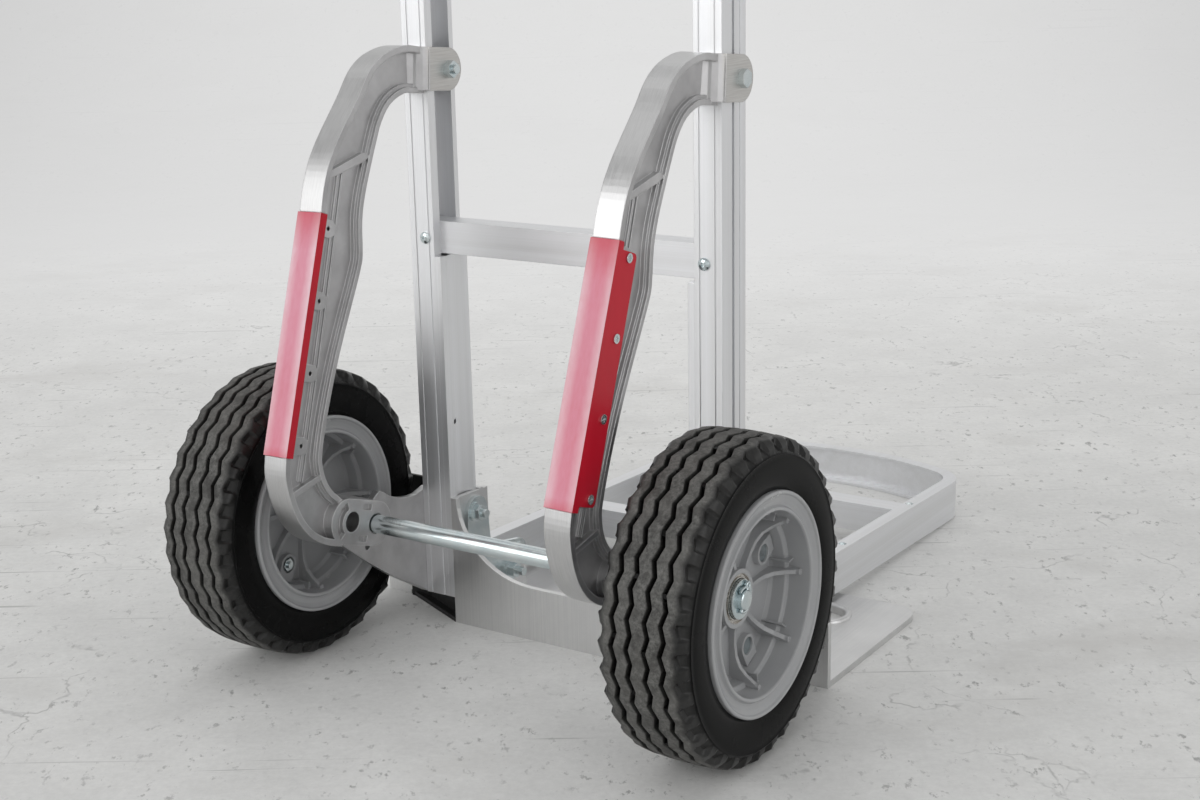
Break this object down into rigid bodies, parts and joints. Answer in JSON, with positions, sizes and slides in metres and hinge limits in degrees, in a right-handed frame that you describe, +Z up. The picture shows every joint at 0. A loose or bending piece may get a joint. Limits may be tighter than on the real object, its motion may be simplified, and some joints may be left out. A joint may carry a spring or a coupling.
{
  "type": "hand truck",
  "caption": "Aluminium two-wheel hand truck with stair-climber arms, red wear strips and a folding nose extension for tall or light loads.",
  "frame": {"origin": "centre of the bottom of the box around the truck, on the floor it stands on, with the nose extension down", "axes": "+Z up along the rails, +Y forward from the rails to the nose, +X to the right of a person who stands behind the truck"},
  "size_m": [0.513, 0.8031, 1.306],
  "materials": {
    "mill_aluminium": "mill-finish extruded aluminium with fine lines along its length",
    "cast_aluminium": "cast aluminium with ground, brushed faces",
    "zinc_steel": "bright zinc-plated steel",
    "red_plastic": "semi-gloss moulded red plastic",
    "black_rubber": "matt black rubber",
    "rim_plastic": "semi-gloss grey moulded plastic",
    "tyre": "matt black rubber tread with satin sidewalls"
  },
  "bodies": {
    "frame": {"rail_left": "mill_aluminium", "rail_right": "mill_aluminium", "rail_insert_left": "mill_aluminium", "rail_insert_right": "mill_aluminium", "crossbar_lower": "mill_aluminium", "crossbar_middle": "mill_aluminium", "crossbar_upper": "mill_aluminium", "crossbar_screws": "zinc_steel", "handle_loop": "mill_aluminium", "handle_grip": "black_rubber", "handle_screws": "zinc_steel", "climber_arm_left": "cast_aluminium", "climber_arm_right": "cast_aluminium", "arm_bolts": "zinc_steel", "arm_nuts": "zinc_steel", "wear_strip_left": "red_plastic", "wear_strip_right": "red_plastic", "wear_strip_screws_left": "zinc_steel", "wear_strip_screws_right": "zinc_steel", "wheel_bracket_left": "cast_aluminium", "wheel_bracket_right": "cast_aluminium", "bracket_bolts": "zinc_steel", "bracket_nuts": "zinc_steel", "nose_plate": "cast_aluminium", "rail_foot_left": "black_rubber", "rail_foot_right": "black_rubber", "axle": "zinc_steel", "axle_spacer_left": "zinc_steel", "axle_spacer_right": "zinc_steel", "axle_washers": "zinc_steel", "cotter_pins": "zinc_steel", "hinge_plate_left": "zinc_steel", "hinge_plate_right": "zinc_steel", "hinge_bolts": "zinc_steel", "hinge_nuts": "zinc_steel", "pivot_bolts": "zinc_steel", "pivot_nuts": "zinc_steel", "pivot_spacers": "zinc_steel"},
    "extension": {"extension_frame": "mill_aluminium", "extension_slat_rear": "mill_aluminium", "extension_slat_front": "mill_aluminium", "extension_rivets": "zinc_steel"},
    "wheel_left": {"tyre_left": "tyre", "rim_outer_left": "rim_plastic", "rim_inner_left": "rim_plastic", "bearings_left": "zinc_steel", "rim_bolts_left": "zinc_steel", "rim_nuts_left": "zinc_steel"},
    "wheel_right": {"tyre_right": "tyre", "rim_outer_right": "rim_plastic", "rim_inner_right": "rim_plastic", "bearings_right": "zinc_steel", "rim_bolts_right": "zinc_steel", "rim_nuts_right": "zinc_steel"}
  },
  "joints": [
    {"name": "wheel_left_spin", "type": "hinge", "parent": "frame", "child": "wheel_left", "pos_m": [-0.2175, -0.27456, 0.127], "axis": [1, 0, 0], "continuous": true},
    {"name": "wheel_right_spin", "type": "hinge", "parent": "frame", "child": "wheel_right", "pos_m": [0.2175, -0.27456, 0.127], "axis": [1, 0, 0], "continuous": true},
    {"name": "nose_extension_fold", "type": "hinge", "parent": "frame", "child": "extension", "pos_m": [0, -0.07956, 0.04326], "axis": [1, 0, 0], "range_deg": [0, 96]}
  ]
}
